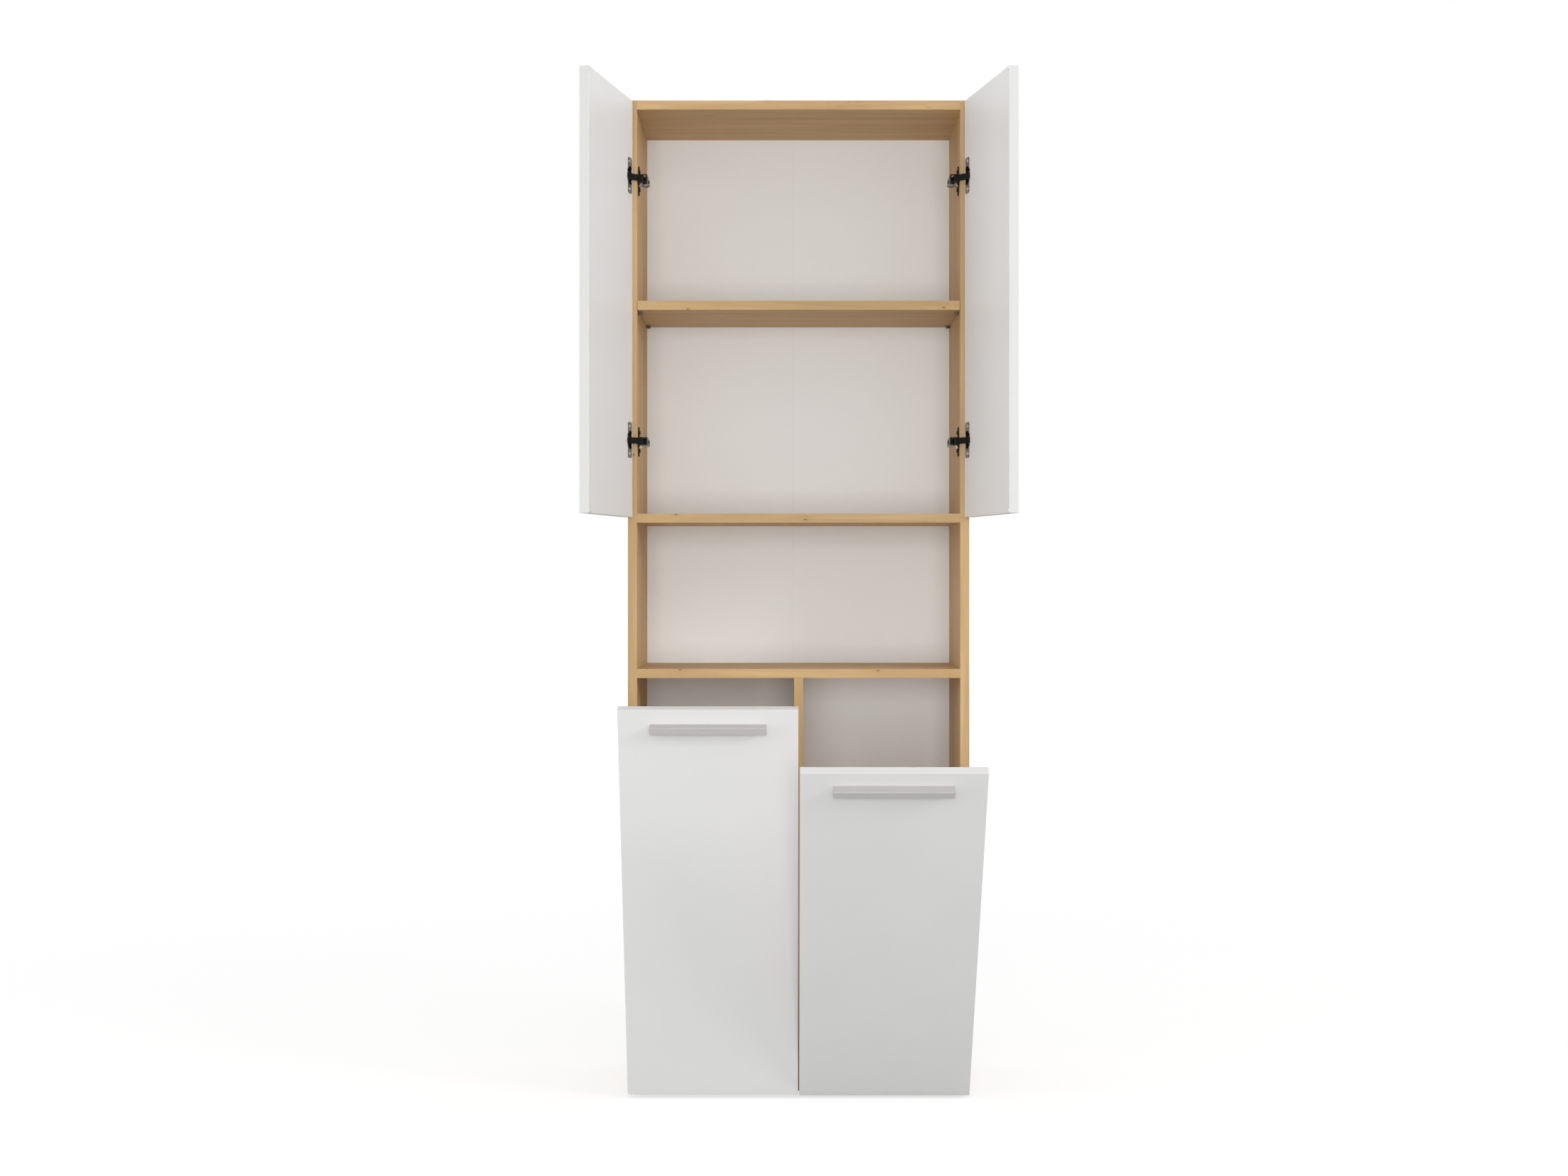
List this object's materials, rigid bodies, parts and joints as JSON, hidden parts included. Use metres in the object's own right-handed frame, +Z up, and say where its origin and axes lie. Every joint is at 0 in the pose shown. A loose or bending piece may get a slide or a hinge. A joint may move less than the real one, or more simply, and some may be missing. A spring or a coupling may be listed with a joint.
{
  "type": "bathroom cabinet",
  "caption": "Tall free-standing bathroom cabinet: light oak carcase, white doors on concealed hinges over a loose shelf, an open niche, and tilt-out laundry flaps with bar handles.",
  "frame": {"origin": "on the floor, under the middle of the carcase, on the centre glide's underside", "axes": "+X to the viewer's right, +Y to the wall behind, +Z up"},
  "size_m": [0.7176, 0.7326, 1.778],
  "materials": {
    "oak_board": "light oak decor, satin",
    "white_board": "white melamine, satin",
    "back_board": "white painted hardboard",
    "grey_handle": "light grey, matt",
    "black_hinge": "black, satin",
    "hinge_cup_steel": "dark nickel",
    "zinc_steel": "zinc plated",
    "screw_steel": "zinc plated",
    "black_pin": "black",
    "glide_plastic": "grey",
    "clear_buffer": "pale silicone",
    "beech_dowel": "bare beech"
  },
  "bodies": {
    "carcase": {"back_panel_nails": "screw_steel", "bottom_board": "oak_board", "cam_bolts": "screw_steel", "cam_locks": "screw_steel", "centre_divider": "oak_board", "door_shelf": "oak_board", "dowels": "beech_dowel", "glide_nails": "screw_steel", "glides": "glide_plastic", "hinge_arm_screws": "black_hinge", "hinge_arms": "black_hinge", "hinge_mounting_plates": "black_hinge", "hinge_plate_screws": "black_hinge", "hinge_release_tabs": "hinge_cup_steel", "left_back_panel": "back_board", "left_side_panel": "oak_board", "loose_shelf": "oak_board", "niche_floor": "oak_board", "right_back_panel": "back_board", "right_side_panel": "oak_board", "shelf_pins": "black_pin", "stay_studs": "zinc_steel", "top_board": "oak_board", "wall_bracket_screws": "screw_steel", "wall_brackets": "zinc_steel"},
    "left_door_body": {"left_door_bumpers": "clear_buffer", "left_door_cup_screws": "screw_steel", "left_door_hinge_cups": "hinge_cup_steel", "left_door_hinge_pins": "screw_steel", "left_door_panel": "white_board"},
    "left_door_link": {"left_door_hinge_links": "black_hinge"},
    "right_door_body": {"right_door_bumpers": "clear_buffer", "right_door_cup_screws": "screw_steel", "right_door_hinge_cups": "hinge_cup_steel", "right_door_hinge_pins": "screw_steel", "right_door_panel": "white_board"},
    "right_door_link": {"right_door_hinge_links": "black_hinge"},
    "left_flap_body": {"left_flap_bumpers": "clear_buffer", "left_flap_cup_screws": "screw_steel", "left_flap_handle": "grey_handle", "left_flap_handle_screws": "screw_steel", "left_flap_hinge_cups": "hinge_cup_steel", "left_flap_hinge_pins": "screw_steel", "left_flap_panel": "white_board", "left_flap_stay_arm": "zinc_steel", "left_flap_stay_screws": "screw_steel"},
    "left_flap_link": {"left_flap_hinge_links": "black_hinge"},
    "right_flap_body": {"right_flap_bumpers": "clear_buffer", "right_flap_cup_screws": "screw_steel", "right_flap_handle": "grey_handle", "right_flap_handle_screws": "screw_steel", "right_flap_hinge_cups": "hinge_cup_steel", "right_flap_hinge_pins": "screw_steel", "right_flap_panel": "white_board", "right_flap_stay_arm": "zinc_steel", "right_flap_stay_screws": "screw_steel"},
    "right_flap_link": {"right_flap_hinge_links": "black_hinge"}
  },
  "joints": [
    {"name": "left_door_swing", "type": "hinge", "parent": "carcase", "child": "left_door_body", "pos_m": [-0.296, -0.1556, 1.383], "axis": [0, 0, -1], "range_deg": [-100, 5]},
    {"name": "left_door_link_turn", "type": "hinge", "parent": "left_door_body", "child": "left_door_link", "pos_m": [-0.30066, -0.17255, 1.383], "axis": [0, 0, -1], "range_deg": [-3.62, 63]},
    {"name": "right_door_swing", "type": "hinge", "parent": "carcase", "child": "right_door_body", "pos_m": [0.296, -0.1556, 1.383], "axis": [0, 0, 1], "range_deg": [-100, 5]},
    {"name": "right_door_link_turn", "type": "hinge", "parent": "right_door_body", "child": "right_door_link", "pos_m": [0.30066, -0.17255, 1.383], "axis": [0, 0, 1], "range_deg": [-3.62, 63]},
    {"name": "left_flap_swing", "type": "hinge", "parent": "carcase", "child": "left_flap_body", "pos_m": [-0.15, -0.1556, 0.014], "axis": [1, 0, 0], "range_deg": [-20, 20]},
    {"name": "left_flap_link_turn", "type": "hinge", "parent": "left_flap_body", "child": "left_flap_link", "pos_m": [-0.15, -0.16314, 0.02988], "axis": [1, 0, 0], "range_deg": [-13, 13]},
    {"name": "right_flap_swing", "type": "hinge", "parent": "carcase", "child": "right_flap_body", "pos_m": [0.15, -0.1556, 0.014], "axis": [1, 0, 0], "range_deg": [-35, 5]},
    {"name": "right_flap_link_turn", "type": "hinge", "parent": "right_flap_body", "child": "right_flap_link", "pos_m": [0.15, -0.16699, 0.02739], "axis": [1, 0, 0], "range_deg": [-3.62, 22.38]}
  ],
  "couplings": [
    {"joint": "left_door_link_turn", "follows": "left_door_swing", "ratio": -0.625},
    {"joint": "right_door_link_turn", "follows": "right_door_swing", "ratio": -0.625},
    {"joint": "left_flap_link_turn", "follows": "left_flap_swing", "ratio": -0.625},
    {"joint": "right_flap_link_turn", "follows": "right_flap_swing", "ratio": -0.625}
  ]
}
